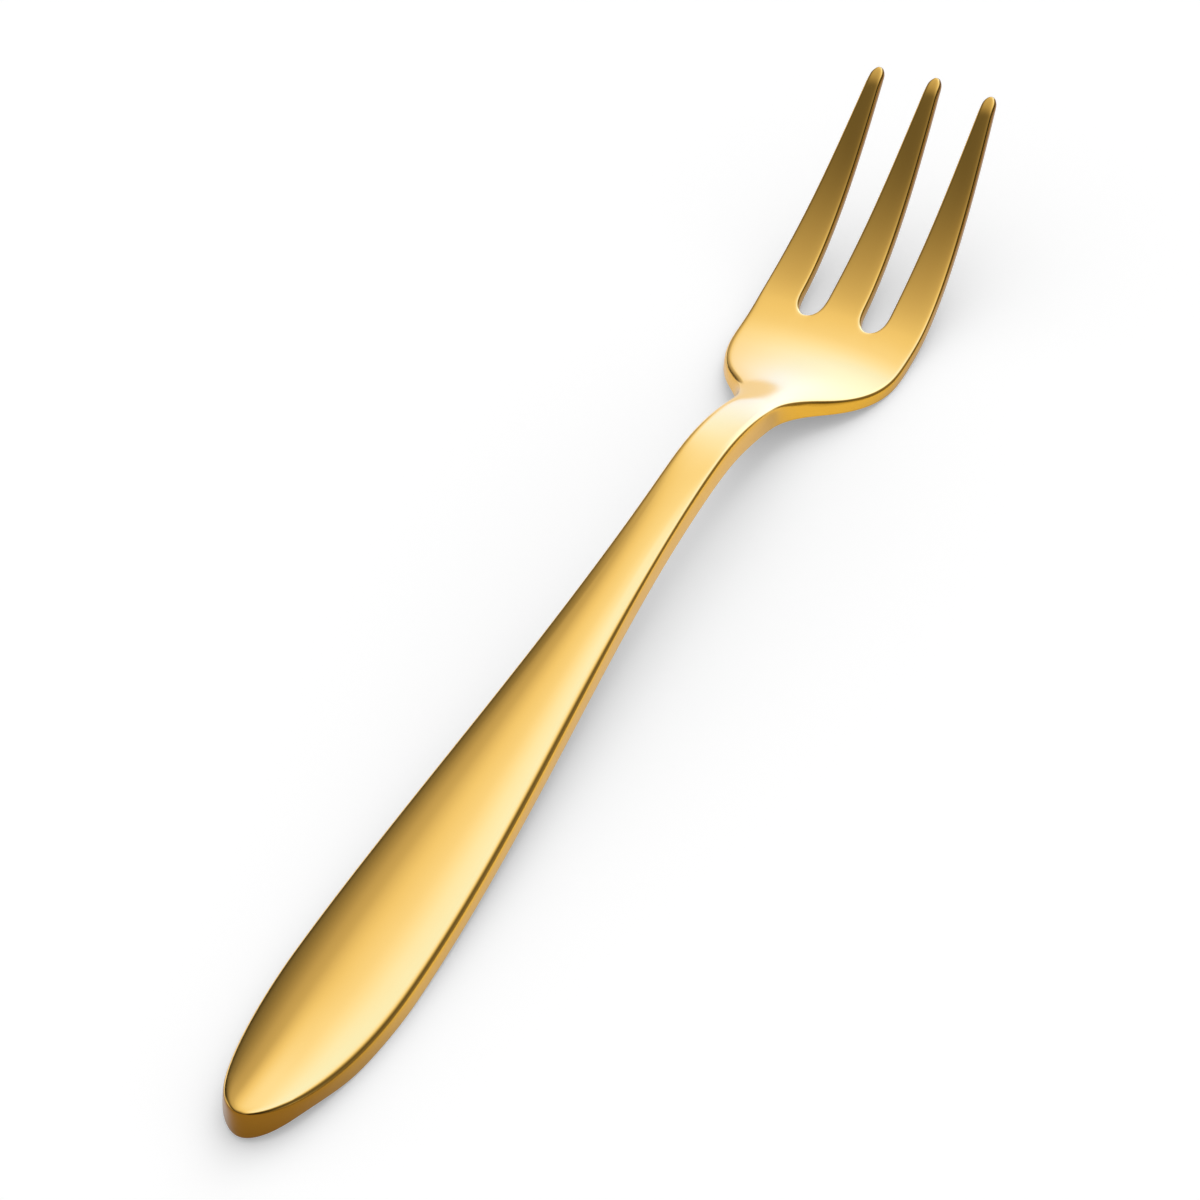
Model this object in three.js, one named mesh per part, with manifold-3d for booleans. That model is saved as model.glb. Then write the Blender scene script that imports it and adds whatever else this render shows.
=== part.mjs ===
// Oyster fork of stainless steel with a gold coating: one blank, cut to its outline, rolled, bent and
// polished. Millimetres. +Z is up, +X is the right side, and +Y runs from the butt of the handle to the tips.
// The fork rests on the plane Z = 0, and the origin lies under the middle of its length.
// The one forging is split where a cutlery maker names its regions, and the regions meet face to face.

import * as THREE from "three";
import { mergeVertices } from "three/addons/utils/BufferGeometryUtils.js";
import Module from "manifold-3d";

const wasm = await Module();
wasm.setup();

// Lengths in plan, along Y
const HANDLE_LENGTH = 83.7;
const BUTT_LENGTH = 19.7; // oval end, from the nose to the widest part of the handle
const CURL_LENGTH = 4; // upturned nose of the butt, whose end wall is upright
const HEEL_FROM_NOSE = 10; // where the underside of the handle comes down on the table
const NECK_LENGTH = 16.2;
const CREST_FROM_HANDLE = 6.5; // from the start of the neck to its highest point
const PALM_LENGTH = 5.5; // from the end of the shoulders to the base of the tines
const OUTER_TINE_LENGTH = 21.8;
const MIDDLE_TINE_LENGTH = 22.1;

// Widths and radii of the outline
const HANDLE_WIDTH = 11.35;
const NOSE_WIDTH = 0.8;
const NECK_WIDTH = 4.5;
const NECK_FILLET_RADIUS = 8.3;
const SHOULDER_RADIUS = 13.6;
const TINE_WIDTH = 4;
const TINE_TIP_WIDTH = 1.3;
const TINE_LEAN = 0.65; // how far the tip of an outer tine leans towards the middle
const TINE_TAPER_POWER = 1.6; // 1 tapers in a straight line, more keeps the base full
const SLOT_WIDTH = 2.6;
const SLOT_CUT_DEPTH = 5; // deeper than the plate, so that a slot goes right through

// Thickness at the edge, square to the surface
const BUTT_THICKNESS = 3.15;
const CURL_THICKNESS = 1.75;
const HEEL_THICKNESS = 1.85;
const HANDLE_THICKNESS = 1.92;
const NECK_CREST_THICKNESS = 2.45;
const NECK_END_THICKNESS = 2.25;
const SHOULDER_THICKNESS = 1.5;
const PALM_THICKNESS = 1.2;
const TINE_THICKNESS = 1.1;
const TINE_TIP_THICKNESS = 0.75;

// How far the middle of the top stands over its edges
const BUTT_CROWN = 0.9; // what the dome of the oval end has over the crown of the handle
const HANDLE_CROWN = 1.05;
const NECK_CROWN = 0.15;
const NECK_END_CROWN = 0.1;
const SHOULDER_CROWN = 0.4;
const PALM_CROWN = 0.2;
const TINE_CROWN = 0.05;
const CROWN_RISE = 0.3; // share of a tine's length over which its crown grows from the flat palm

// Height of the top edge over the table. The places that bear on it follow from the thickness there.
const BUTT_HEIGHT = 3.4;
const CURL_HEIGHT = 2.55;
const HANDLE_MIDDLE_HEIGHT = 4.3;
const NECK_START_HEIGHT = 7.7;
const NECK_CREST_HEIGHT = 7.95;
const NECK_END_HEIGHT = 5.6;
const SHOULDER_HEIGHT = 3.1;
const TINE_BASE_HEIGHT = 1.9;
const TINE_MIDDLE_HEIGHT = 7.1;
const TINE_TIP_HEIGHT = 16.1;
const REST_WEAR = 0.06; // depth of the flats worn where the underside bears on the table

// Chamfers that stand for the rounded edges
const TOP_CHAMFER = 0.4;
const LOWER_CHAMFER = 0.3;
const CHAMFER_LIMIT = 0.4; // largest share of the thickness or of the half width that one chamfer takes

// Fineness of the facets
const BUTT_STEPS = 9;
const TAPER_STEPS = 12;
const NECK_STEPS = 8;
const FILLET_STEPS = 4;
const SHOULDER_STEPS = 6;
const PALM_STEPS = 3;
const TINE_STEPS = 10;
const TIP_STEPS = 3;
const SLOT_SIDES = 24;
const CROWN_STEPS = 6;
const TIP_END_ANGLE = THREE.MathUtils.degToRad(72); // where the round end of a tine stops in a small flat

const GOLD = { color: 0xdcae4b, roughness: 0.12, metalness: 1 };

// Half widths, and the places along Y where the regions begin
const handleHalf = HANDLE_WIDTH / 2;
const neckHalf = NECK_WIDTH / 2;
const slotCentre = (TINE_WIDTH + SLOT_WIDTH) / 2;
const outerTineCentre = TINE_WIDTH + SLOT_WIDTH;
const headHalf = outerTineCentre + TINE_WIDTH / 2;
const outlineRadii = NECK_FILLET_RADIUS + SHOULDER_RADIUS;
const shoulderAngle = Math.acos(1 - (headHalf - neckHalf) / outlineRadii);
const neckStart = HANDLE_LENGTH;
const handleMiddle = (BUTT_LENGTH + neckStart) / 2;
const neckCrest = neckStart + CREST_FROM_HANDLE;
const neckEnd = neckStart + NECK_LENGTH;
const filletEnd = neckEnd + NECK_FILLET_RADIUS * Math.sin(shoulderAngle);
const shoulderEnd = neckEnd + outlineRadii * Math.sin(shoulderAngle);
const tineBase = shoulderEnd + PALM_LENGTH;
const tineReach = Math.max(OUTER_TINE_LENGTH, MIDDLE_TINE_LENGTH);
const tineMiddle = tineBase + tineReach / 2;
const tineEnd = tineBase + tineReach;

// A smooth curve through [place, value] pairs: a cubic spline with straight ends.
class SmoothLine {
  constructor(knots) {
    this.places = knots.map(([place]) => place);
    this.values = knots.map(([, value]) => value);
    this.bends = this.solveBends();
  }

  // The second derivative at each knot, from the usual three-term equations.
  solveBends() {
    const { places, values } = this;
    const last = places.length - 1;
    const bends = new Array(places.length).fill(0);
    const ratio = new Array(places.length).fill(0);
    for (let k = 1; k < last; k += 1) {
      const before = places[k] - places[k - 1];
      const after = places[k + 1] - places[k];
      const turn = (values[k + 1] - values[k]) / after - (values[k] - values[k - 1]) / before;
      const weight = 2 * (before + after) - before * ratio[k - 1];
      ratio[k] = after / weight;
      bends[k] = (6 * turn - before * bends[k - 1]) / weight;
    }
    for (let k = last - 1; k > 0; k -= 1) {
      bends[k] -= ratio[k] * bends[k + 1];
    }
    return bends;
  }

  span(place) {
    const next = this.places.findIndex((knot, k) => k > 0 && place <= knot);
    const k = (next < 0 ? this.places.length - 1 : next) - 1;
    const step = this.places[k + 1] - this.places[k];
    return { k, step, left: (this.places[k + 1] - place) / step, right: (place - this.places[k]) / step };
  }

  at(place) {
    const { k, step, left, right } = this.span(place);
    const bow = (left ** 3 - left) * this.bends[k] + (right ** 3 - right) * this.bends[k + 1];
    return left * this.values[k] + right * this.values[k + 1] + (bow * step * step) / 6;
  }

  slope(place) {
    const { k, step, left, right } = this.span(place);
    const bow = (3 * right ** 2 - 1) * this.bends[k + 1] - (3 * left ** 2 - 1) * this.bends[k];
    return (this.values[k + 1] - this.values[k]) / step + (bow * step) / 6;
  }
}

const edgeThickness = new SmoothLine([
  [0, BUTT_THICKNESS],
  [CURL_LENGTH, CURL_THICKNESS],
  [HEEL_FROM_NOSE, HEEL_THICKNESS],
  [BUTT_LENGTH, HANDLE_THICKNESS],
  [handleMiddle, HANDLE_THICKNESS],
  [neckCrest, NECK_CREST_THICKNESS],
  [neckEnd, NECK_END_THICKNESS],
  [filletEnd, SHOULDER_THICKNESS],
  [shoulderEnd, PALM_THICKNESS],
  [tineBase, TINE_THICKNESS],
  [tineEnd, TINE_TIP_THICKNESS],
]);

const edgeHeight = new SmoothLine([
  [0, BUTT_HEIGHT],
  [CURL_LENGTH, CURL_HEIGHT],
  [HEEL_FROM_NOSE, HEEL_THICKNESS],
  [BUTT_LENGTH, HANDLE_THICKNESS - REST_WEAR],
  [handleMiddle, HANDLE_MIDDLE_HEIGHT],
  [neckStart, NECK_START_HEIGHT],
  [neckCrest, NECK_CREST_HEIGHT],
  [neckEnd, NECK_END_HEIGHT],
  [filletEnd, SHOULDER_HEIGHT],
  [shoulderEnd, PALM_THICKNESS - REST_WEAR],
  [tineBase, TINE_BASE_HEIGHT],
  [tineMiddle, TINE_MIDDLE_HEIGHT],
  [tineEnd, TINE_TIP_HEIGHT],
]);

const crownHeight = new SmoothLine([
  [BUTT_LENGTH, HANDLE_CROWN],
  [neckStart, NECK_CROWN],
  [neckEnd, NECK_END_CROWN],
  [filletEnd, SHOULDER_CROWN],
  [shoulderEnd, PALM_CROWN],
  [tineBase, 0],
]);

// Height of the crown at y. The oval end is a dome that comes down to its edge all round.
function crownAt(y) {
  if (y < BUTT_LENGTH) {
    const fromWidest = ((BUTT_LENGTH - y) / BUTT_LENGTH) ** 2;
    return (HANDLE_CROWN + BUTT_CROWN * fromWidest) * (1 - fromWidest);
  }
  return crownHeight.at(y);
}

// Half of the outline's width, from the nose of the butt to the base of the tines.
function outlineHalf(y) {
  if (y < BUTT_LENGTH) {
    const oval = handleHalf * Math.sqrt(1 - ((BUTT_LENGTH - y) / BUTT_LENGTH) ** 2);
    return Math.max(NOSE_WIDTH / 2, oval);
  }
  if (y < neckStart) {
    return THREE.MathUtils.lerp(handleHalf, neckHalf, THREE.MathUtils.smoothstep(y, BUTT_LENGTH, neckStart));
  }
  if (y < neckEnd) {
    return neckHalf;
  }
  if (y < filletEnd) {
    return neckHalf + NECK_FILLET_RADIUS - Math.sqrt(NECK_FILLET_RADIUS ** 2 - (y - neckEnd) ** 2);
  }
  const beforeWidest = Math.max(0, shoulderEnd - y);
  return headHalf - SHOULDER_RADIUS + Math.sqrt(SHOULDER_RADIUS ** 2 - beforeWidest ** 2);
}

// Half of a tine's width at a share of its length, 0 at the base and 1 at the tip.
function tineHalf(share) {
  return THREE.MathUtils.lerp(TINE_WIDTH, TINE_TIP_WIDTH, share ** TINE_TAPER_POWER) / 2;
}

// A cross-section square to the top edge at y, or upright at the nose: a crowned top, plain sides and a flat
// underside.
function sectionRing(y, half, crown = 0, centre = 0) {
  const slope = edgeHeight.slope(y);
  const lean = Math.hypot(1, slope);
  const tilt = (slope / lean) * THREE.MathUtils.smoothstep(y, 0, CURL_LENGTH);
  const thickness = edgeThickness.at(y);
  const widest = CHAMFER_LIMIT * Math.min(half, thickness);
  const top = Math.min(TOP_CHAMFER, widest);
  const lower = Math.min(LOWER_CHAMFER, widest);
  const flat = half - top;
  const right = [
    [half - lower, -thickness],
    [half, lower - thickness],
    [half, -top],
  ];
  const across = [];
  for (let k = 0; k <= CROWN_STEPS; k += 1) {
    const x = flat * (1 - (2 * k) / CROWN_STEPS);
    across.push([x, crown * (1 - (x / flat) ** 2)]);
  }
  const left = right.map(([x, rise]) => [-x, rise]).reverse();
  return [...right, ...across, ...left].map(([x, rise]) => {
    const height = edgeHeight.at(y) + rise / lean;
    return new THREE.Vector3(centre + x, y - rise * tilt, Math.max(0, height));
  });
}

// A closed body through rings of points, with a flat cap on each end.
function loft(rings) {
  const size = rings[0].length;
  const index = [];
  for (let start = 0; start < (rings.length - 1) * size; start += size) {
    for (let k = 0; k < size; k += 1) {
      const here = start + k;
      const beside = start + ((k + 1) % size);
      index.push(here, beside + size, beside);
      index.push(here, here + size, beside + size);
    }
  }
  const capOf = (ring) => THREE.ShapeUtils.triangulateShape(ring.map((p) => new THREE.Vector2(p.x, p.z)), []);
  const endStart = (rings.length - 1) * size;
  for (const [a, b, c] of capOf(rings[0])) {
    index.push(a, b, c);
  }
  for (const [a, b, c] of capOf(rings.at(-1))) {
    index.push(endStart + a, endStart + c, endStart + b);
  }
  const points = rings.flat().flatMap((p) => p.toArray());
  const body = new THREE.BufferGeometry();
  body.setAttribute("position", new THREE.Float32BufferAttribute(points, 3));
  body.setIndex(index);
  return body;
}

// Places from one value to another in equal steps, both ends included.
function steps(from, to, count) {
  return Array.from({ length: count + 1 }, (_, k) => from + ((to - from) * k) / count);
}

function toSolid(geometry) {
  const bare = geometry.clone();
  bare.deleteAttribute("normal");
  bare.deleteAttribute("uv");
  const merged = mergeVertices(bare);
  return new wasm.Manifold(
    new wasm.Mesh({
      numProp: 3,
      vertProperties: new Float32Array(merged.attributes.position.array),
      triVerts: new Uint32Array(merged.index.array),
    }),
  );
}

function toGeometry(solid) {
  const mesh = solid.getMesh();
  const geometry = new THREE.BufferGeometry();
  geometry.setAttribute("position", new THREE.Float32BufferAttribute(mesh.vertProperties, 3));
  geometry.setIndex(Array.from(mesh.triVerts));
  return geometry;
}

// The stretch of the forging through the given places along Y.
function stretch(places) {
  return loft(places.map((y) => sectionRing(y, outlineHalf(y), crownAt(y))));
}

function handleGeometry() {
  const oval = steps(0, Math.PI / 2, BUTT_STEPS).map((turn) => BUTT_LENGTH * (1 - Math.cos(turn)));
  return stretch([...oval, ...steps(BUTT_LENGTH, neckStart, TAPER_STEPS).slice(1)]);
}

function neckGeometry() {
  return stretch(steps(neckStart, neckEnd, NECK_STEPS));
}

// The shoulders and the plate that carries the tines, with the round ends of the two slots cut into it.
function rootGeometry() {
  const filletTurns = steps(0, shoulderAngle, FILLET_STEPS);
  const fillet = filletTurns.map((turn) => neckEnd + NECK_FILLET_RADIUS * Math.sin(turn));
  const shoulderTurns = steps(shoulderAngle, 0, SHOULDER_STEPS);
  const shoulder = shoulderTurns.map((turn) => shoulderEnd - SHOULDER_RADIUS * Math.sin(turn));
  const palm = steps(shoulderEnd, tineBase, PALM_STEPS);
  let root = toSolid(stretch([...fillet, ...shoulder.slice(1), ...palm.slice(1)]));
  for (const side of [-1, 1]) {
    const end = new THREE.CylinderGeometry(SLOT_WIDTH / 2, SLOT_WIDTH / 2, SLOT_CUT_DEPTH, SLOT_SIDES);
    end.rotateX(Math.PI / 2 + Math.atan(edgeHeight.slope(tineBase)));
    end.translate(side * slotCentre, tineBase, edgeHeight.at(tineBase));
    root = root.subtract(toSolid(end));
  }
  return toGeometry(root);
}

// A tine on the left (-1), in the middle (0) or on the right (1). Its tip is round in the plane of the tine.
function tineGeometry(side, length) {
  const end = tineBase + length;
  const tipRun = TINE_TIP_WIDTH / 2 / Math.hypot(1, edgeHeight.slope(end));
  const bar = steps(tineBase, end - tipRun, TINE_STEPS).map((y) => [y, 1]);
  const tipTurns = steps(0, TIP_END_ANGLE, TIP_STEPS);
  const tip = tipTurns.map((turn) => [end - tipRun * (1 - Math.sin(turn)), Math.cos(turn)]);
  return loft(
    [...bar, ...tip.slice(1)].map(([y, roundness]) => {
      const share = (y - tineBase) / length;
      const crown = TINE_CROWN * roundness * THREE.MathUtils.smoothstep(share, 0, CROWN_RISE);
      const centre = side * (outerTineCentre - TINE_LEAN * share);
      return sectionRing(y, tineHalf(share) * roundness, crown, centre);
    }),
  );
}

const fork = new THREE.Group();

function addRegion(name, geometry) {
  const region = new THREE.Mesh(geometry, new THREE.MeshStandardMaterial(GOLD));
  region.name = name;
  fork.add(region);
}

addRegion("handle", handleGeometry());
addRegion("neck", neckGeometry());
addRegion("root", rootGeometry());
addRegion("tine_left", tineGeometry(-1, OUTER_TINE_LENGTH));
addRegion("tine_middle", tineGeometry(0, MIDDLE_TINE_LENGTH));
addRegion("tine_right", tineGeometry(1, OUTER_TINE_LENGTH));

// The origin lies under the middle of the length.
fork.position.y = -new THREE.Box3().setFromObject(fork).getCenter(new THREE.Vector3()).y;

export default fork;
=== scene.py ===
"""Oyster fork of gold-coated stainless steel, lying on a white table under soft studio light.

The fork is made as the real one is: a flat blank is cut to its outline, thinned and crowned, its edges are
rounded, and it is bent to its side profile. Sizes are in millimetres until the last step of each piece.
"""

import logging
import math
from bisect import bisect_left
from dataclasses import dataclass
from enum import Enum
from typing import Any

import bmesh
import bpy
import numpy as np
from mathutils import Matrix, Vector


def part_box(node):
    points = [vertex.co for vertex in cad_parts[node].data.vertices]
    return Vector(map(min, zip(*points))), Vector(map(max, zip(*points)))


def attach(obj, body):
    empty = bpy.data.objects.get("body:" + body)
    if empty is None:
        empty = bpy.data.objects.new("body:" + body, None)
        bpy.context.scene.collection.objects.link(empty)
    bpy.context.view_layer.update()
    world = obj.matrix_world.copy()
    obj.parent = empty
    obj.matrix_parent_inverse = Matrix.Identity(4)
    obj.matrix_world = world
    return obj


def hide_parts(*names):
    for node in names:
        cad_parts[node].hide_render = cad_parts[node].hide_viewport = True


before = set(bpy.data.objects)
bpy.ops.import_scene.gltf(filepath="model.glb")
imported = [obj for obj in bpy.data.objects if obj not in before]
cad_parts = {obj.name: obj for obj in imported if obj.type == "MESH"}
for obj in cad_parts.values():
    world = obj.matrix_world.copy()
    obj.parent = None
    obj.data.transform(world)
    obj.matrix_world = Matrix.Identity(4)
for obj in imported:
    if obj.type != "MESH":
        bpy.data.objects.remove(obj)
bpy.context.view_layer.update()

MM = 0.001
log = logging.getLogger("oyster_fork")


class Side(Enum):
    """Place of a tine across the head."""

    LEFT = -1
    MIDDLE = 0
    RIGHT = 1


def linear(hex_colour: str) -> tuple[float, float, float, float]:
    """Turn an sRGB hex colour into linear light.

    Args:
        hex_colour: six hex digits, red first.

    Returns:
        Red, green, blue and an alpha of 1.
    """
    channels = [int(hex_colour[k : k + 2], 16) / 255 for k in (0, 2, 4)]
    red, green, blue = [c / 12.92 if c <= 0.04045 else ((c + 0.055) / 1.055) ** 2.4 for c in channels]
    return red, green, blue, 1.0


def smoothstep(value: float, low: float, high: float) -> float:
    """Rise smoothly from 0 at low to 1 at high.

    Args:
        value: where to read the curve.
        low: where the rise starts.
        high: where the rise ends.

    Returns:
        A number from 0 to 1.
    """
    share = min(1.0, max(0.0, (value - low) / (high - low)))
    return share * share * (3 - 2 * share)


def add_node(
    tree: bpy.types.NodeTree,
    kind: str,
    inputs: dict[str | int, Any] | None = None,
    **settings: Any,
) -> bpy.types.Node:
    """Add a node, set its options and fill its sockets.

    Args:
        tree: node tree that takes the node.
        kind: Blender's name for the node type.
        inputs: socket name or number to a value, or to an output socket that is linked to it.
        **settings: attributes of the node itself.

    Returns:
        The new node.
    """
    node = tree.nodes.new(kind)
    for name, value in settings.items():
        setattr(node, name, value)
    for key, value in (inputs or {}).items():
        if isinstance(value, bpy.types.NodeSocket):
            tree.links.new(value, node.inputs[key])
        else:
            node.inputs[key].default_value = value
    return node


def seen_rays(tree: bpy.types.NodeTree) -> bpy.types.NodeSocket:
    """Tell the rays that look at things from the rays that only light them.

    Args:
        tree: node tree that takes the nodes.

    Returns:
        1 for what is seen straight on, in a mirror or through glass, and 0 for the rest.
    """
    path = add_node(tree, "ShaderNodeLightPath").outputs
    seen = path["Is Camera Ray"]
    for kind in ("Is Glossy Ray", "Is Transmission Ray"):
        either = add_node(tree, "ShaderNodeMath", {0: seen, 1: path[kind]}, operation="MAXIMUM")
        seen = either.outputs["Value"]
    return seen


class SmoothLine:
    """A natural cubic spline through pairs of place and value."""

    def __init__(self, knots: list[tuple[float, float]]) -> None:
        """Solve the second derivative at each knot.

        Args:
            knots: pairs of place and value, in rising order of place.
        """
        self.places = [place for place, _ in knots]
        self.values = [value for _, value in knots]
        count = len(knots)
        system = np.eye(count)
        turns = np.zeros(count)
        for k in range(1, count - 1):
            before = self.places[k] - self.places[k - 1]
            after = self.places[k + 1] - self.places[k]
            system[k, k - 1 : k + 2] = before, 2 * (before + after), after
            rise_after = (self.values[k + 1] - self.values[k]) / after
            rise_before = (self.values[k] - self.values[k - 1]) / before
            turns[k] = 6 * (rise_after - rise_before)
        self.bends = np.linalg.solve(system, turns)

    def span(self, place: float) -> tuple[int, float, float, float]:
        """Find the piece of the curve at a place.

        Args:
            place: where the curve is read.

        Returns:
            The number of the knot before the place, the length of the piece, and the shares in which its left
            and right ends count.
        """
        k = min(max(bisect_left(self.places, place), 1), len(self.places) - 1) - 1
        step = self.places[k + 1] - self.places[k]
        return k, step, (self.places[k + 1] - place) / step, (place - self.places[k]) / step

    def at(self, place: float) -> float:
        """Read the curve.

        Args:
            place: where the curve is read.

        Returns:
            The value there.
        """
        k, step, left, right = self.span(place)
        bow = (left**3 - left) * self.bends[k] + (right**3 - right) * self.bends[k + 1]
        return float(left * self.values[k] + right * self.values[k + 1] + bow * step * step / 6)

    def slope(self, place: float) -> float:
        """Read the slope of the curve.

        Args:
            place: where the curve is read.

        Returns:
            The rise per unit of place there.
        """
        k, step, left, right = self.span(place)
        bow = (3 * right**2 - 1) * self.bends[k + 1] - (3 * left**2 - 1) * self.bends[k]
        return float((self.values[k + 1] - self.values[k]) / step + bow * step / 6)


@dataclass(frozen=True)
class GoldCoat:
    """Mirror-polished stainless steel under a gold-coloured vapour coating.

    The polish gives clear, slightly softened reflections, the nitride film gives them a warm yellow that
    drifts a little with its thickness, and the buffing wheel leaves hairlines along the fork.
    """

    name: str = "gold_coat_on_polished_stainless"
    thin_film: str = "F5C96D"
    thick_film: str = "F2C468"
    cloud_mm: float = 9.0
    # Real buffing lines are about a hundredth of a millimetre wide. They are drawn coarser here, so that they
    # show in the render.
    hairline_mm: float = 0.12
    hairline_length_mm: float = 14.0
    hairline_depth_mm: float = 0.0006
    hairline_strength: float = 0.15
    roughness_low: float = 0.08
    roughness_high: float = 0.13

    def film(self, tree: bpy.types.NodeTree, place: bpy.types.NodeSocket) -> bpy.types.NodeSocket:
        """Colour the film, in slow clouds between its thin and its thick places.

        Args:
            tree: node tree of the material.
            place: coordinates on the fork.

        Returns:
            The colour.
        """
        cloud = add_node(
            tree,
            "ShaderNodeTexNoise",
            {"Vector": place, "Scale": 1 / (self.cloud_mm * MM), "Detail": 2.0, "Roughness": 0.5},
        )
        film = add_node(
            tree,
            "ShaderNodeMix",
            {"Factor": cloud.outputs["Fac"], "A": linear(self.thick_film), "B": linear(self.thin_film)},
            data_type="RGBA",
        )
        return film.outputs["Result"]

    def material(self) -> bpy.types.Material:
        """Build the node material.

        Returns:
            The finished material.
        """
        gold = bpy.data.materials.new(self.name)
        gold.use_nodes = True
        tree = gold.node_tree
        tree.nodes.clear()
        place = add_node(tree, "ShaderNodeTexCoord").outputs["Object"]
        across = 1 / (self.hairline_mm * MM)
        along = 1 / (self.hairline_length_mm * MM)
        drawn = add_node(tree, "ShaderNodeMapping", {"Vector": place, "Scale": (across, along, across)})
        hairline = add_node(
            tree,
            "ShaderNodeTexNoise",
            {"Vector": drawn.outputs["Vector"], "Scale": 1.0, "Detail": 3.0, "Roughness": 0.6},
        )
        polish = add_node(
            tree,
            "ShaderNodeMapRange",
            {"Value": hairline.outputs["Fac"], "To Min": self.roughness_low, "To Max": self.roughness_high},
        )
        relief = add_node(
            tree,
            "ShaderNodeBump",
            {
                "Height": hairline.outputs["Fac"],
                "Strength": self.hairline_strength,
                "Distance": self.hairline_depth_mm * MM,
            },
        )
        shader = add_node(
            tree,
            "ShaderNodeBsdfPrincipled",
            {
                "Base Color": self.film(tree, place),
                "Metallic": 1.0,
                "Roughness": polish.outputs["Result"],
                "Normal": relief.outputs["Normal"],
            },
        )
        add_node(tree, "ShaderNodeOutputMaterial", {"Surface": shader.outputs["BSDF"]})
        return gold


@dataclass(frozen=True)
class StampedEdge(GoldCoat):
    """The same coating on the stamped edge, which is tumbled but not buffed.

    The edge looks satin. Its colour is deeper than the polished faces' and goes brown at the blunt end of the
    butt and towards the tips of the tines. The deeper and the brown colour are painted shade: they stand for
    the shadowed table and dim surround that the edge mirrors.
    """

    name: str = "gold_coat_and_painted_shade_on_edge"
    # Edge colours are darker than the faces' as painted shade.
    thin_film: str = "ECB642"
    thick_film: str = "E2AA3A"
    roughness_low: float = 0.2
    roughness_high: float = 0.28
    # Painted shade: a dark brown that fades in over these runs, from the butt's nose and from the tips of the
    # tines.
    painted_end_shade: str = "8F621C"
    butt_shade_run_mm: tuple[float, float] = (0.6, 24.0)
    tip_shade_run_mm: tuple[float, float] = (6.0, 38.0)

    def film(self, tree: bpy.types.NodeTree, place: bpy.types.NodeSocket) -> bpy.types.NodeSocket:
        """Colour the film, and darken it towards both ends of the fork with painted shade.

        Args:
            tree: node tree of the material.
            place: coordinates on the fork.

        Returns:
            The colour.
        """
        along = add_node(tree, "ShaderNodeSeparateXYZ", {"Vector": place}).outputs["Y"]
        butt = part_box("handle")[0].y
        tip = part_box("tine_middle")[1].y
        butt_shade_span = [butt + run * MM for run in self.butt_shade_run_mm]
        tip_shade_span = [tip - run * MM for run in self.tip_shade_run_mm]
        colour = super().film(tree, place)
        # Blend the painted shade in at each end of the fork.
        for brown, clear in (butt_shade_span, tip_shade_span):
            share = add_node(
                tree,
                "ShaderNodeMapRange",
                {"Value": along, "From Min": brown, "From Max": clear},
                interpolation_type="SMOOTHSTEP",
            )
            film = add_node(
                tree,
                "ShaderNodeMix",
                {"Factor": share.outputs["Result"], "A": linear(self.painted_end_shade), "B": colour},
                data_type="RGBA",
            )
            colour = film.outputs["Result"]
        return colour


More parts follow.
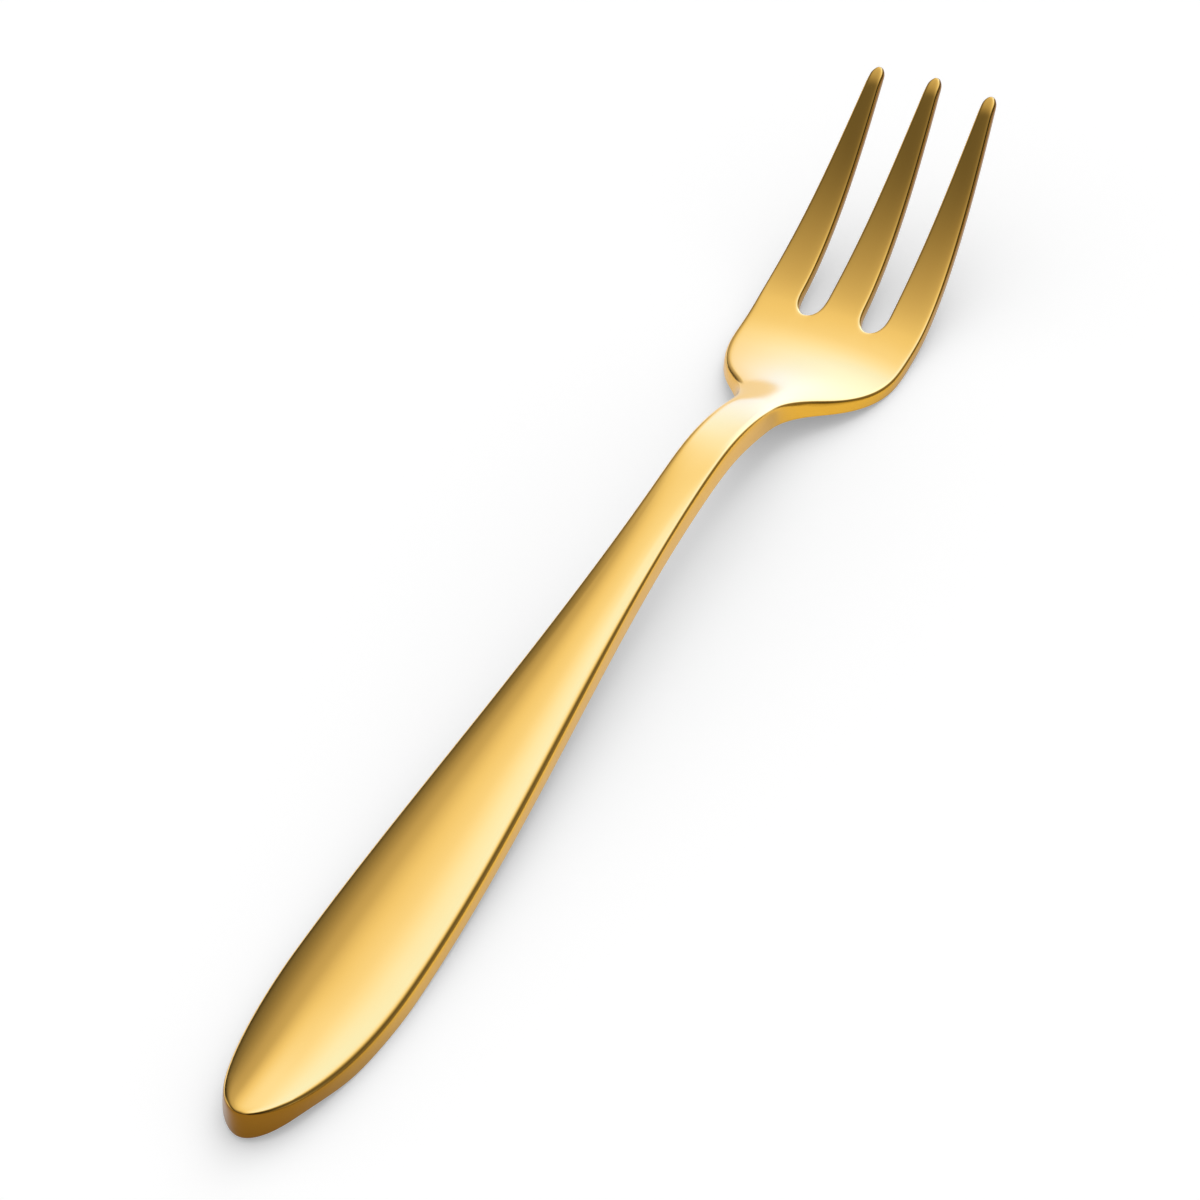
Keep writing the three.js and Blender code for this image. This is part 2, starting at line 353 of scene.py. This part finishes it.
@dataclass
class ForkBody:
    """The one forging: handle, neck, root and three tines, without a seam.

    Sizes are in millimetres. Places along the fork count from the nose of the butt, and heights from the
    table.
    """

    # Lengths and places along the fork.
    handle_length: float = 83.7
    butt_length: float = 19.7
    curl_length: float = 4.0
    heel_from_nose: float = 10.0
    neck_length: float = 16.2
    crest_from_handle: float = 6.5
    palm_length: float = 5.5
    outer_tine_length: float = 21.8
    middle_tine_length: float = 22.1

    # Widths, and the radii of the outline.
    handle_width: float = 11.35
    neck_width: float = 4.5
    neck_fillet_radius: float = 8.3
    shoulder_radius: float = 13.6
    tine_width: float = 4.0
    tine_tip_width: float = 1.3
    tine_lean: float = 0.65
    tine_taper_power: float = 1.6
    slot_width: float = 2.6

    # Thickness of the steel.
    butt_thickness: float = 3.15
    curl_thickness: float = 1.75
    heel_thickness: float = 1.85
    handle_thickness: float = 1.92
    neck_crest_thickness: float = 2.45
    neck_end_thickness: float = 2.25
    shoulder_thickness: float = 1.5
    palm_thickness: float = 1.2
    tine_thickness: float = 1.1
    tine_tip_thickness: float = 0.75

    # Rise of the top over its edge, and fall at the end of a tine.
    butt_crown: float = 0.9
    handle_crown: float = 1.05
    neck_crown: float = 0.15
    neck_end_crown: float = 0.1
    shoulder_crown: float = 0.4
    palm_crown: float = 0.2
    tine_crown: float = 0.05
    crown_rise: float = 0.3
    tip_fall: float = 0.5
    tip_fall_run: float = 1.8

    # Heights of the top edge, and how much the rest flats are worn.
    butt_height: float = 3.4
    curl_height: float = 2.55
    handle_middle_height: float = 4.3
    neck_start_height: float = 7.7
    neck_crest_height: float = 7.95
    neck_end_height: float = 5.6
    shoulder_height: float = 3.1
    tine_base_height: float = 1.9
    tine_middle_height: float = 7.1
    tine_tip_height: float = 16.1
    rest_wear: float = 0.06

    # Rounded edges. The lower ones are shares of the thickness.
    butt_round: float = 0.32
    handle_round: float = 0.34
    neck_round: float = 0.5
    shoulder_round: float = 0.4
    palm_round: float = 0.35
    tine_round: float = 0.26
    tip_round: float = 0.2
    lower_round: float = 0.06
    lower_cut: float = 0.05

    # Layout of the mesh.
    edge_band: float = 1.0
    tine_band_share: float = 0.54
    body_band_share: float = 0.4
    nose_turn: float = math.radians(35)
    tine_columns: int = 4
    slot_columns: int = 4
    nose_rows: int = 10
    taper_rows: int = 24
    neck_rows: int = 8
    shoulder_rows: int = 12
    palm_rows: int = 4
    tine_rows: int = 14
    tip_rows: int = 3
    round_segments: int = 2
    smooth_levels: int = 2
    slot_sag: tuple[float, ...] = (1.0, 0.55, 0.25, 0.08)

    def __post_init__(self) -> None:
        """Derive the places along the fork and its curves from the sizes."""
        self.handle_half = self.handle_width / 2
        self.neck_half = self.neck_width / 2
        self.slot_centre = (self.tine_width + self.slot_width) / 2
        self.outer_centre = self.tine_width + self.slot_width
        self.head_half = self.outer_centre + self.tine_width / 2
        radii = self.neck_fillet_radius + self.shoulder_radius
        turn = math.acos(1 - (self.head_half - self.neck_half) / radii)
        self.neck_start = self.handle_length
        self.handle_middle = (self.butt_length + self.neck_start) / 2
        self.neck_crest = self.neck_start + self.crest_from_handle
        self.neck_end = self.neck_start + self.neck_length
        self.fillet_end = self.neck_end + self.neck_fillet_radius * math.sin(turn)
        self.shoulder_end = self.neck_end + radii * math.sin(turn)
        self.tine_base = self.shoulder_end + self.palm_length
        reach = max(self.outer_tine_length, self.middle_tine_length)
        self.tine_middle = self.tine_base + reach / 2
        self.tine_end = self.tine_base + reach
        self.thickness = SmoothLine(
            [
                (0, self.butt_thickness),
                (self.curl_length, self.curl_thickness),
                (self.heel_from_nose, self.heel_thickness),
                (self.butt_length, self.handle_thickness),
                (self.handle_middle, self.handle_thickness),
                (self.neck_crest, self.neck_crest_thickness),
                (self.neck_end, self.neck_end_thickness),
                (self.fillet_end, self.shoulder_thickness),
                (self.shoulder_end, self.palm_thickness),
                (self.tine_base, self.tine_thickness),
                (self.tine_end, self.tine_tip_thickness),
            ]
        )
        self.height = SmoothLine(
            [
                (0, self.butt_height),
                (self.curl_length, self.curl_height),
                (self.heel_from_nose, self.heel_thickness),
                (self.butt_length, self.handle_thickness - self.rest_wear),
                (self.handle_middle, self.handle_middle_height),
                (self.neck_start, self.neck_start_height),
                (self.neck_crest, self.neck_crest_height),
                (self.neck_end, self.neck_end_height),
                (self.fillet_end, self.shoulder_height),
                (self.shoulder_end, self.palm_thickness - self.rest_wear),
                (self.tine_base, self.tine_base_height),
                (self.tine_middle, self.tine_middle_height),
                (self.tine_end, self.tine_tip_height),
            ]
        )
        self.crown = SmoothLine(
            [
                (self.butt_length, self.handle_crown),
                (self.neck_start, self.neck_crown),
                (self.neck_end, self.neck_end_crown),
                (self.fillet_end, self.shoulder_crown),
                (self.shoulder_end, self.palm_crown),
                (self.tine_base, 0),
            ]
        )
        self.rounding = SmoothLine(
            [
                (self.butt_length, self.butt_round),
                (self.handle_middle, self.handle_round),
                (self.neck_start, self.handle_round),
                (self.neck_end, self.neck_round),
                (self.fillet_end, self.shoulder_round),
                (self.shoulder_end, self.palm_round),
                (self.tine_base, self.tine_round),
                (self.tine_middle, self.tine_round),
                (self.tine_end, self.tip_round),
            ]
        )
        self.lower_rounding = SmoothLine(
            [
                (place, self.lower_round * thick)
                for place, thick in zip(self.thickness.places, self.thickness.values)
            ]
        )
        self.widest_round = max(self.rounding.values)
        self.rows = self.row_places()
        self.base_row = len(self.rows) - 1

    def row_places(self) -> list[float]:
        """List the places of the cross rows of the blank, up to the base of the tines.

        Returns:
            Places in millimetres, with one place for all rows of the oval end.
        """
        rows = [self.butt_length] * (self.nose_rows + 1)
        stretches = (
            (self.butt_length, self.neck_start, self.taper_rows),
            (self.neck_start, self.neck_end, self.neck_rows),
            (self.neck_end, self.shoulder_end, self.shoulder_rows),
            (self.shoulder_end, self.tine_base, self.palm_rows),
        )
        for start, end, count in stretches:
            rows.extend(np.linspace(start, end, count + 1)[1:].tolist())
        return rows

    def outline_half(self, y: float) -> float:
        """Half of the outline's width, from the nose of the butt to the base of the tines.

        Args:
            y: place along the fork.

        Returns:
            Half width in millimetres.
        """
        if y < self.butt_length:
            share = (self.butt_length - y) / self.butt_length
            return self.handle_half * math.sqrt(max(0.0, 1 - share**2))
        if y < self.neck_start:
            share = smoothstep(y, self.butt_length, self.neck_start)
            return self.handle_half + (self.neck_half - self.handle_half) * share
        if y < self.neck_end:
            return self.neck_half
        if y < self.fillet_end:
            radius = self.neck_fillet_radius
            return self.neck_half + radius - math.sqrt(radius**2 - (y - self.neck_end) ** 2)
        before_widest = max(0.0, self.shoulder_end - y)
        return self.head_half - self.shoulder_radius + math.sqrt(self.shoulder_radius**2 - before_widest**2)

    def tine_half(self, share: float) -> float:
        """Half of a tine's width at a share of its length."""
        taper = share**self.tine_taper_power
        return (self.tine_width + (self.tine_tip_width - self.tine_width) * taper) / 2

    def strip(self, column: int) -> tuple[Side | None, int]:
        """Tell which tine a column line belongs to.

        Args:
            column: number of the column line, from the left.

        Returns:
            The tine, or None inside a slot, and the number of the line within that strip.
        """
        pitch = self.tine_columns + self.slot_columns
        index, within = divmod(column, pitch)
        if within <= self.tine_columns:
            return list(Side)[index], within
        return None, within - self.tine_columns

    def banded(self, line: int, columns: int, half: float, most: float) -> float:
        """Place a column line across a strip, with a narrow band along each edge.

        Args:
            line: number of the column line.
            columns: number of columns in the strip.
            half: half of the strip's width.
            most: greatest share of the half width that a band may take.

        Returns:
            Share of the half width, from -1 to 1.
        """
        band = min(self.edge_band / half, most)
        shares = np.concatenate([[-1], np.linspace(band - 1, 1 - band, columns - 1), [1]])
        return float(shares[line])

    def tine_share(self, within: int, half: float) -> float:
        """Place of a column line across a tine, from -1 to 1."""
        return self.banded(within, self.tine_columns, half, self.tine_band_share)

    def head_place(self, column: int) -> float:
        """Place a column line across the base of the tines.

        Args:
            column: number of the column line, from the left.

        Returns:
            Place across the fork in millimetres.
        """
        side, within = self.strip(column)
        if side is not None:
            half = self.tine_width / 2
            return side.value * self.outer_centre + half * self.tine_share(within, half)
        left = column < self.tine_columns + self.slot_columns
        centre = -self.slot_centre if left else self.slot_centre
        return centre - self.slot_width / 2 + self.slot_width * within / self.slot_columns

    def body_crown(self, x: float, y: float) -> float:
        """Height of the crowned top over its edge, from the nose to the base of the tines.

        Args:
            x: place across the fork.
            y: place along the fork.

        Returns:
            Height in millimetres, 0 on the outline.
        """
        if y < self.butt_length:
            along = ((self.butt_length - y) / self.butt_length) ** 2
            across = (x / self.handle_half) ** 2
            return (self.handle_crown + self.butt_crown * along) * max(0.0, 1 - along - across)
        return self.crown.at(y) * max(0.0, 1 - (x / self.outline_half(y)) ** 2)

    def nose_place(self, column: int, row: int, columns: int) -> tuple[float, float]:
        """Place a point of the oval end in plan: a grid over an inset oval, and an even band round it.

        Args:
            column: number of the column line.
            row: number of the row, 0 along the nose.
            columns: number of columns in all.

        Returns:
            Place across the fork, and place along it.
        """
        step = (math.pi / 2 - self.nose_turn) / (self.nose_rows - 1)
        share = min(1.0, max(-1.0, 2 * (column - 1) / (columns - 2) - 1))
        turn = self.nose_turn + step * max(0, row - 1)
        outside = column in (0, columns)
        # On the outline, points lie on the oval itself, and those next to the grid's two corners stand half a
        # step further from them.
        if row == 0 or outside:
            if row == 0 and not outside:
                turn = math.asin(math.sin(turn) * share) * (1 - step / 2 / self.nose_turn)
            elif row == 1:
                turn = (turn + step / 2) * share
            else:
                turn *= share
            return self.handle_half * math.sin(turn), self.butt_length * (1 - math.cos(turn))
        # Inside it, the first row follows the inset oval, and later rows flatten towards the widest place.
        depth = self.butt_length - self.edge_band
        across = math.sin(turn) * share
        bow = (1 - math.sqrt(1 - across**2)) / (1 - math.cos(turn))
        before = depth * (1 - (row - 1) / (self.nose_rows - 1))
        before += (depth * math.cos(turn) - before) * bow
        return (self.handle_half - self.edge_band) * across, self.butt_length - before

    def body_point(self, column: int, row: int, columns: int) -> Vector:
        """Place a point of the blank between the nose and the base of the tines.

        Args:
            column: number of the column line.
            row: number of the row.
            columns: number of columns in all.

        Returns:
            Point of the flat blank, with the crown as its height.
        """
        if row < self.nose_rows:
            x, y = self.nose_place(column, row, columns)
            return Vector((x, y, self.body_crown(x, y)))
        y = self.rows[row]
        half = self.outline_half(y)
        share = self.banded(column, columns, half, self.body_band_share)
        if y > self.neck_end:
            blend = smoothstep(y, self.neck_end, self.shoulder_end)
            share += (self.head_place(column) / self.head_half - share) * blend
        x = half * share
        side, within = self.strip(column)
        below = self.base_row - row
        if side is None and below < len(self.slot_sag):
            across = 2 * within / self.slot_columns - 1
            y -= self.slot_width / 2 * math.sqrt(1 - across**2) * self.slot_sag[below]
        return Vector((x, y, self.body_crown(x, y)))

    def tine_point(self, side: Side, within: int, row: int) -> Vector:
        """Place a point of the blank on a tine.

        Args:
            side: which tine.
            within: number of the column line across the tine.
            row: number of the row, counted from the base of the tines.

        Returns:
            Point of the flat blank, with the crown as its height.
        """
        length = self.middle_tine_length if side is Side.MIDDLE else self.outer_tine_length
        end = self.tine_base + length
        run = self.tine_tip_width / 2 / math.hypot(1, self.height.slope(end))
        bar_rows = self.tine_rows - self.tip_rows
        y = self.tine_base + (length - self.tip_fall_run) * min(1.0, row / bar_rows)
        y += (self.tip_fall_run - run) * max(0, row - bar_rows) / self.tip_rows
        share = (y - self.tine_base) / length
        half = self.tine_half(share)
        across = self.tine_share(within, half)
        if row == self.tine_rows:
            y += run * math.sqrt(max(0.0, 1 - across**2))
        centre = side.value * (self.outer_centre - self.tine_lean * share)
        crown = self.tine_crown * smoothstep(share, 0, self.crown_rise) * (1 - across**2)
        past = max(0.0, 1 - (end - y) / self.tip_fall_run)
        return Vector((centre + half * across, y, crown - self.tip_fall * past**2))

    def cut_blank(self) -> bmesh.types.BMesh:
        """Cut the flat blank: a sheet with its two slots, shaped to the outline and crowned.

        Returns:
            The top sheet of the blank.
        """
        columns = 3 * self.tine_columns + 2 * self.slot_columns
        row_count = self.base_row + self.tine_rows
        sheet = bmesh.new()
        bmesh.ops.create_grid(sheet, x_segments=columns, y_segments=row_count, size=1)
        grid = {
            vert: (round((vert.co.x + 1) / 2 * columns), round((vert.co.y + 1) / 2 * row_count))
            for vert in sheet.verts
        }
        in_slot = []
        for face in sheet.faces:
            low_row = min(grid[v][1] for v in face.verts)
            side, within = self.strip(min(grid[v][0] for v in face.verts))
            if low_row >= self.base_row and (side is None or within == self.tine_columns):
                in_slot.append(face)
        for vert, (column, row) in grid.items():
            side, within = self.strip(column)
            if row <= self.base_row or side is None:
                vert.co = self.body_point(column, min(row, self.base_row), columns)
            else:
                vert.co = self.tine_point(side, within, row - self.base_row)
        bmesh.ops.delete(sheet, geom=in_slot, context="FACES")
        return sheet

    def thicken(self, sheet: bmesh.types.BMesh) -> None:
        """Give the blank its thickness, cut its underside back along the rim, and mark its edges.

        Args:
            sheet: top sheet of the blank, changed in place.
        """
        weight = sheet.edges.layers.float.new("bevel_weight_edge")
        top_rim = [edge for edge in sheet.edges if edge.is_boundary]
        grown = bmesh.ops.extrude_face_region(sheet, geom=list(sheet.faces), use_keep_orig=True)["geom"]
        under = {item for item in grown if isinstance(item, bmesh.types.BMVert)}
        lower_rim = [
            edge
            for edge in sheet.edges
            if all(v in under for v in edge.verts)
            and any(v not in under for face in edge.link_faces for v in face.verts)
        ]
        # The walls take the second material, whose colour holds painted shade.
        for face in sheet.faces:
            if 0 < sum(v in under for v in face.verts) < len(face.verts):
                face.material_index = 1
        for vert in under:
            vert.co.z = -self.thickness.at(vert.co.y)
        for vert in {v for edge in lower_rim for v in edge.verts}:
            vert.co.z *= 1 - self.lower_cut
        for rim, radius in ((top_rim, self.rounding), (lower_rim, self.lower_rounding)):
            for edge in rim:
                middle = (edge.verts[0].co.y + edge.verts[1].co.y) / 2
                edge[weight] = radius.at(max(middle, self.butt_length)) / self.widest_round

    def bend(self, blank: bmesh.types.BMesh) -> None:
        """Bend the blank to the side profile and set it on the table.

        Args:
            blank: thick flat blank in millimetres, changed in place to metres in the frame of the part.
        """
        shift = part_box("handle")[0].y / MM
        for vert in blank.verts:
            x, y, rise = vert.co
            slope = self.height.slope(y)
            lean = math.hypot(1, slope)
            tilt = slope / lean * smoothstep(y, 0, self.curl_length)
            height = max(0.0, self.height.at(y) + rise / lean)
            vert.co = Vector((x, y - rise * tilt + shift, height)) * MM

    def build(self, coat: GoldCoat, edge_coat_and_shade: StampedEdge) -> bpy.types.Object:
        """Make the fork and dress it.

        Args:
            coat: finish of the polished faces.
            edge_coat_and_shade: finish of the stamped edge, whose colour carries painted shade.

        Returns:
            The finished piece.
        """
        blank = self.cut_blank()
        self.thicken(blank)
        self.bend(blank)
        bmesh.ops.recalc_face_normals(blank, faces=blank.faces)
        for face in blank.faces:
            face.smooth = True
        mesh = bpy.data.meshes.new("fork_body")
        blank.to_mesh(mesh)
        blank.free()
        body = bpy.data.objects.new("fork_body", mesh)
        bpy.context.scene.collection.objects.link(body)
        rounding = body.modifiers.new("rounded_edges", "BEVEL")
        rounding.limit_method = "WEIGHT"
        rounding.width = self.widest_round * MM
        rounding.segments = self.round_segments
        rounding.use_clamp_overlap = False
        rounding.loop_slide = False
        smooth = body.modifiers.new("smooth", "SUBSURF")
        smooth.levels = self.smooth_levels
        smooth.render_levels = self.smooth_levels
        for finish in (coat, edge_coat_and_shade):
            body.data.materials.append(finish.material())
        # The fork mirrors its surroundings, and not itself.
        body.visible_glossy = False
        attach(body, "root")
        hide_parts("handle", "neck", "root", "tine_left", "tine_middle", "tine_right")
        return body


@dataclass(frozen=True)
class TablePaper:
    """Matt white paper.

    It scatters light evenly, so that only the fork's soft shadow shows on it. The lift brings what is seen of
    it, straight on or mirrored, up to white, and lights nothing else.
    """

    colour: str = "F0F0F0"
    roughness: float = 0.9
    lift: float = 0.26
    lift_colour: tuple[float, float, float, float] = (1.0, 1.0, 1.0, 1.0)

    def material(self) -> bpy.types.Material:
        """Build the node material.

        Returns:
            The finished material.
        """
        paper = bpy.data.materials.new("white_table_paper")
        paper.use_nodes = True
        tree = paper.node_tree
        tree.nodes.clear()
        lift = add_node(tree, "ShaderNodeMath", {0: seen_rays(tree), 1: self.lift}, operation="MULTIPLY")
        shader = add_node(
            tree,
            "ShaderNodeBsdfPrincipled",
            {
                "Base Color": linear(self.colour),
                "Roughness": self.roughness,
                "Specular IOR Level": 0.0,
                "Emission Color": self.lift_colour,
                "Emission Strength": lift.outputs["Value"],
            },
        )
        add_node(tree, "ShaderNodeOutputMaterial", {"Surface": shader.outputs["BSDF"]})
        return paper


@dataclass(frozen=True)
class Fade:
    """How a light grows or fails along one axis of the direction it comes from.

    The stops are pairs of place, from -1 to 1, and level.
    """

    axis: str
    stops: tuple[tuple[float, float], ...]


@dataclass
class Studio:
    """Table, light and camera."""

    floor_radius: float = 3.0
    floor_sides: int = 96

    # The camera, solved from the outline in the photograph.
    focal_px: float = 5000.0
    image_px: float = 1200.0
    sensor_mm: float = 36.0
    clip_start: float = 0.01
    eye_mm: tuple[float, float, float] = (148.25, -311.393, 293.95)
    right: tuple[float, float, float] = (0.90031, 0.43525, 0.0)
    up: tuple[float, float, float] = (-0.28079, 0.58080, 0.76409)
    back: tuple[float, float, float] = (0.33257, -0.68791, 0.64511)

    # A bright ceiling that fails on the left, on the far right and towards the camera.
    ceiling: tuple[Fade, ...] = (
        Fade(
            "X",
            (
                (-0.8, 0.05),
                (-0.68, 0.26),
                (-0.59, 0.5),
                (-0.4, 0.68),
                (-0.28, 0.72),
                (-0.2, 0.82),
                (-0.1, 1.03),
                (0.0, 1.24),
                (0.18, 1.4),
                (0.32, 0.3),
                (0.43, 0.05),
            ),
        ),
        Fade(
            "Y",
            (
                (-0.85, 0.07),
                (-0.6, 0.165),
                (-0.4, 0.22),
                (-0.2, 0.45),
                (0.0, 0.7),
                (0.2, 0.98),
                (0.3, 1.15),
                (0.4, 1.25),
                (0.52, 1.15),
                (0.6, 1.12),
                (0.68, 1.07),
                (0.78, 1.0),
            ),
        ),
    )
    # A window behind the fork, brightest low down.
    window: tuple[Fade, ...] = (
        Fade("X", ((-0.52, 0.0), (-0.4, 0.7), (-0.33, 1.2), (-0.27, 1.5), (0.1, 1.5), (0.3, 0.2))),
        Fade("Y", ((0.1, 0.0), (0.6, 1.0))),
        Fade(
            "Z",
            ((0.1, 0.9), (0.4, 0.8), (0.55, 0.64), (0.645, 0.44), (0.72, 0.27), (0.8, 0.2), (0.92, 0.0)),
        ),
    )
    # A low pale wall round the other sides, which the fork mirrors when it is seen from behind.
    wall: tuple[Fade, ...] = (
        Fade("Y", ((0.2, 1.0), (0.45, 0.0))),
        Fade("Z", ((0.3, 0.7), (0.55, 0.0))),
    )
    # Mirrored light is a little warm where it is dim, and pale where it is bright.
    level_steps: tuple[float, float, float] = (0.3, 1.0, 1.8)
    dim_light: tuple[float, float, float, float] = (1.08, 0.99, 0.78, 1.0)
    plain_light: tuple[float, float, float, float] = (1.0, 1.0, 1.0, 1.0)
    bright_light: tuple[float, float, float, float] = (0.6, 0.84, 1.8, 1.0)
    # The table takes a share of the same light, and an even fill.
    table_gain: float = 0.75
    table_fill: float = 0.47

    def floor(self) -> bpy.types.Object:
        """Lay the table.

        Returns:
            The floor.
        """
        disc = bmesh.new()
        bmesh.ops.create_circle(disc, cap_ends=True, segments=self.floor_sides, radius=self.floor_radius)
        mesh = bpy.data.meshes.new("table")
        disc.to_mesh(mesh)
        disc.free()
        table = bpy.data.objects.new("table", mesh)
        bpy.context.scene.collection.objects.link(table)
        mesh.materials.append(TablePaper().material())
        return table

    def camera(self) -> bpy.types.Object:
        """Set up the camera.

        Returns:
            The camera, made the scene's own.
        """
        lens = bpy.data.cameras.new("camera")
        lens.sensor_width = self.sensor_mm
        lens.lens = self.focal_px / self.image_px * self.sensor_mm
        lens.clip_start = self.clip_start
        eye = bpy.data.objects.new("camera", lens)
        axes = Matrix((self.right, self.up, self.back)).transposed()
        eye.matrix_world = Matrix.Translation(Vector(self.eye_mm) * MM) @ axes.to_4x4()
        bpy.context.scene.collection.objects.link(eye)
        bpy.context.scene.camera = eye
        return eye

    def level(self, tree: bpy.types.NodeTree) -> bpy.types.NodeSocket:
        """Work out how bright the surround is in each direction.

        Args:
            tree: node tree of the world.

        Returns:
            The sum of the lights, each of which is the product of its fades.
        """
        way = add_node(tree, "ShaderNodeTexCoord").outputs["Generated"]
        axes = add_node(tree, "ShaderNodeSeparateXYZ", {"Vector": way}).outputs
        level: Any = 0.0
        for light in (self.ceiling, self.window, self.wall):
            amount: Any = 1.0
            for fade in light:
                share: Any = fade.stops[0][1]
                for (start, low), (end, high) in zip(fade.stops, fade.stops[1:]):
                    step = add_node(
                        tree,
                        "ShaderNodeMapRange",
                        {
                            "Value": axes[fade.axis],
                            "From Min": start,
                            "From Max": end,
                            "To Min": 0.0,
                            "To Max": high - low,
                        },
                    )
                    rise = step.outputs["Result"]
                    total = add_node(tree, "ShaderNodeMath", {0: share, 1: rise}, operation="ADD")
                    share = total.outputs["Value"]
                product = add_node(tree, "ShaderNodeMath", {0: amount, 1: share}, operation="MULTIPLY")
                amount = product.outputs["Value"]
            lights = add_node(tree, "ShaderNodeMath", {0: level, 1: amount}, operation="ADD")
            level = lights.outputs["Value"]
        return level

    def tint(self, tree: bpy.types.NodeTree, level: bpy.types.NodeSocket) -> bpy.types.NodeSocket:
        """Colour mirrored light by how bright it is.

        Args:
            tree: node tree of the world.
            level: how bright the surround is.

        Returns:
            The colour.
        """
        tint: Any = self.dim_light
        tints = (self.plain_light, self.bright_light)
        for colour, low, high in zip(tints, self.level_steps, self.level_steps[1:]):
            rise = add_node(tree, "ShaderNodeMapRange", {"Value": level, "From Min": low, "From Max": high})
            blend = add_node(
                tree,
                "ShaderNodeMix",
                {"Factor": rise.outputs["Result"], "A": tint, "B": colour},
                data_type="RGBA",
            )
            tint = blend.outputs["Result"]
        return tint

    def world(self) -> None:
        """Surround the table with soft light, tinted where it is mirrored and white where it falls."""
        world = bpy.data.worlds.new("studio")
        bpy.context.scene.world = world
        world.use_nodes = True
        tree = world.node_tree
        tree.nodes.clear()
        level = self.level(tree)
        seen = seen_rays(tree)
        shade = add_node(
            tree,
            "ShaderNodeMix",
            {"Factor": seen, "A": self.plain_light, "B": self.tint(tree, level)},
            data_type="RGBA",
        )
        on_table = add_node(
            tree,
            "ShaderNodeMath",
            {0: level, 1: self.table_gain, 2: self.table_fill},
            operation="MULTIPLY_ADD",
        )
        strength = add_node(
            tree,
            "ShaderNodeMix",
            {"Factor": seen, "A": on_table.outputs["Value"], "B": level},
        )
        light = add_node(
            tree,
            "ShaderNodeBackground",
            {"Color": shade.outputs["Result"], "Strength": strength.outputs["Result"]},
        )
        add_node(tree, "ShaderNodeOutputWorld", {"Surface": light.outputs["Background"]})


def main() -> None:
    logging.basicConfig(level=logging.INFO, format="%(name)s: %(message)s")
    bpy.context.scene.view_settings.view_transform = "Standard"
    # The table shows no gold glints beside the fork.
    bpy.context.scene.cycles.caustics_reflective = False
    studio = Studio()
    for piece in (studio.floor(), studio.camera()):
        log.info("studio: %s", piece.name)
    studio.world()
    body = ForkBody().build(GoldCoat(), StampedEdge())
    log.info("piece: %s with %d faces before smoothing", body.name, len(body.data.polygons))


if __name__ == "__main__":
    main()
